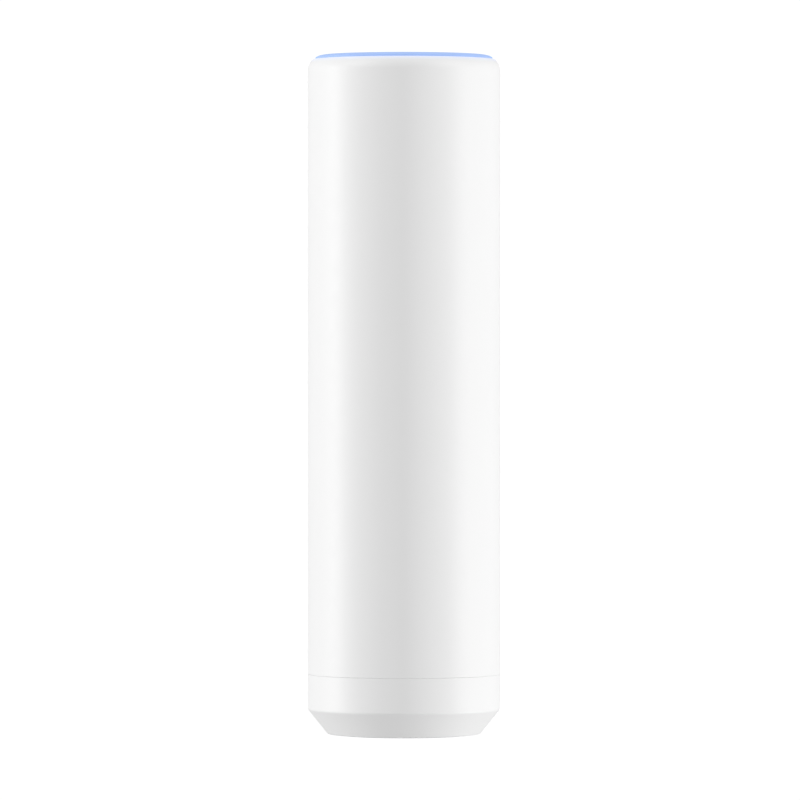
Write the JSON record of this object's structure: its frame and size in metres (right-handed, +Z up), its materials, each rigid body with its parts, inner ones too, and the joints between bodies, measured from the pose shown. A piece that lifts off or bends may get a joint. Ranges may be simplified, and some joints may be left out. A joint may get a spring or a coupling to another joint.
{
  "type": "mesh wifi node",
  "caption": "Slim upright white cylinder with a glowing ring round its top edge and a chamfered pull-off base that hides a downward network socket and a reset button.",
  "frame": {"origin": "on the cylinder's axis, at the surface that the node stands on", "axes": "+Z up along the cylinder; the front faces -Y and the cable leaves the base at the back, +Y"},
  "size_m": [0.0474, 0.0474, 0.1677],
  "materials": {
    "black_plastic": "black glass-filled plastic",
    "board_green": "solder mask over copper tracks",
    "board_white": "white solder mask",
    "button_grey": "grey moulded plastic",
    "cable_jacket": "thin black cable jacket",
    "capacitor_can": "aluminium cans with a dark base",
    "ceramic_tan": "small ceramic parts with tinned ends",
    "chip_black": "matt moulding compound",
    "ferrite": "sintered ferrite",
    "flex_amber": "amber flexible circuit",
    "foot_rubber": "soft grey rubber",
    "gold_contact": "gold-plated spring wire",
    "grey_inner": "light grey moulded plastic, matt",
    "heat_sink_metal": "extruded aluminium",
    "label_film": "blank satin film",
    "led_lens": "LED package with a pale lens",
    "light_diffuser": "frosted, lit blue from inside",
    "screw_steel": "zinc-plated steel",
    "seal_rubber": "black sealing rubber",
    "thermal_pad": "soft thermal pad",
    "tin_plate": "tin-plated sheet",
    "white_inner": "plain white moulded plastic, matt",
    "white_shell": "fine satin white moulded plastic",
    "winding_tape": "yellow winding tape"
  },
  "bodies": {
    "base": {"base_cap": "white_shell", "foot_ring": "foot_rubber"},
    "main": {"amplifier_chips": "chip_black", "antenna_2ghz_1": "tin_plate", "antenna_2ghz_2": "tin_plate", "antenna_5ghz_1": "tin_plate", "antenna_5ghz_2": "tin_plate", "antenna_5ghz_3": "tin_plate", "antenna_5ghz_4": "tin_plate", "antenna_bracket": "black_plastic", "antenna_cable_1": "cable_jacket", "antenna_cable_2": "cable_jacket", "antenna_cable_3": "cable_jacket", "antenna_cable_4": "cable_jacket", "antenna_cable_5": "cable_jacket", "antenna_cable_6": "cable_jacket", "base_seal": "seal_rubber", "board_screws": "screw_steel", "bracket_screws": "screw_steel", "capacitors": "capacitor_can", "coax_plugs": "gold_contact", "coax_sockets": "gold_contact", "crown_screws": "screw_steel", "flash_chip": "chip_black", "flex_connector": "white_inner", "heat_sink": "heat_sink_metal", "led_board": "board_white", "led_connector": "white_inner", "led_flex_cable": "flex_amber", "leds": "led_lens", "light_baffle": "white_inner", "light_ring": "light_diffuser", "main_board": "board_green", "memory_chip": "chip_black", "network_transformer": "chip_black", "outer_shell": "white_shell", "port_well": "grey_inner", "power_controller": "chip_black", "power_inductor": "ferrite", "power_transformer_bobbin": "winding_tape", "power_transformer_core": "ferrite", "processor": "chip_black", "radio_chip_2ghz": "chip_black", "radio_chip_5ghz": "chip_black", "rating_label": "label_film", "reset_switch": "black_plastic", "rj45_body": "black_plastic", "rj45_contacts": "gold_contact", "rj45_shield": "tin_plate", "shell_gasket": "seal_rubber", "shield_can_2ghz": "tin_plate", "shield_can_5ghz": "tin_plate", "small_parts": "ceramic_tan", "thermal_pads": "thermal_pad", "top_cap": "white_shell", "well_screws": "screw_steel"},
    "reset": {"reset_button": "button_grey", "switch_plunger": "button_grey"}
  },
  "joints": [
    {"name": "tower_lift", "type": "slide", "parent": "base", "child": "main", "axis": [0, 0, 1], "range_m": [0, 0.03]},
    {"name": "reset_press", "type": "slide", "parent": "main", "child": "reset", "axis": [0, 0, 1], "range_m": [0, 0.0005], "stiffness_N_per_m": 1500, "springref_m": -0.0002}
  ]
}
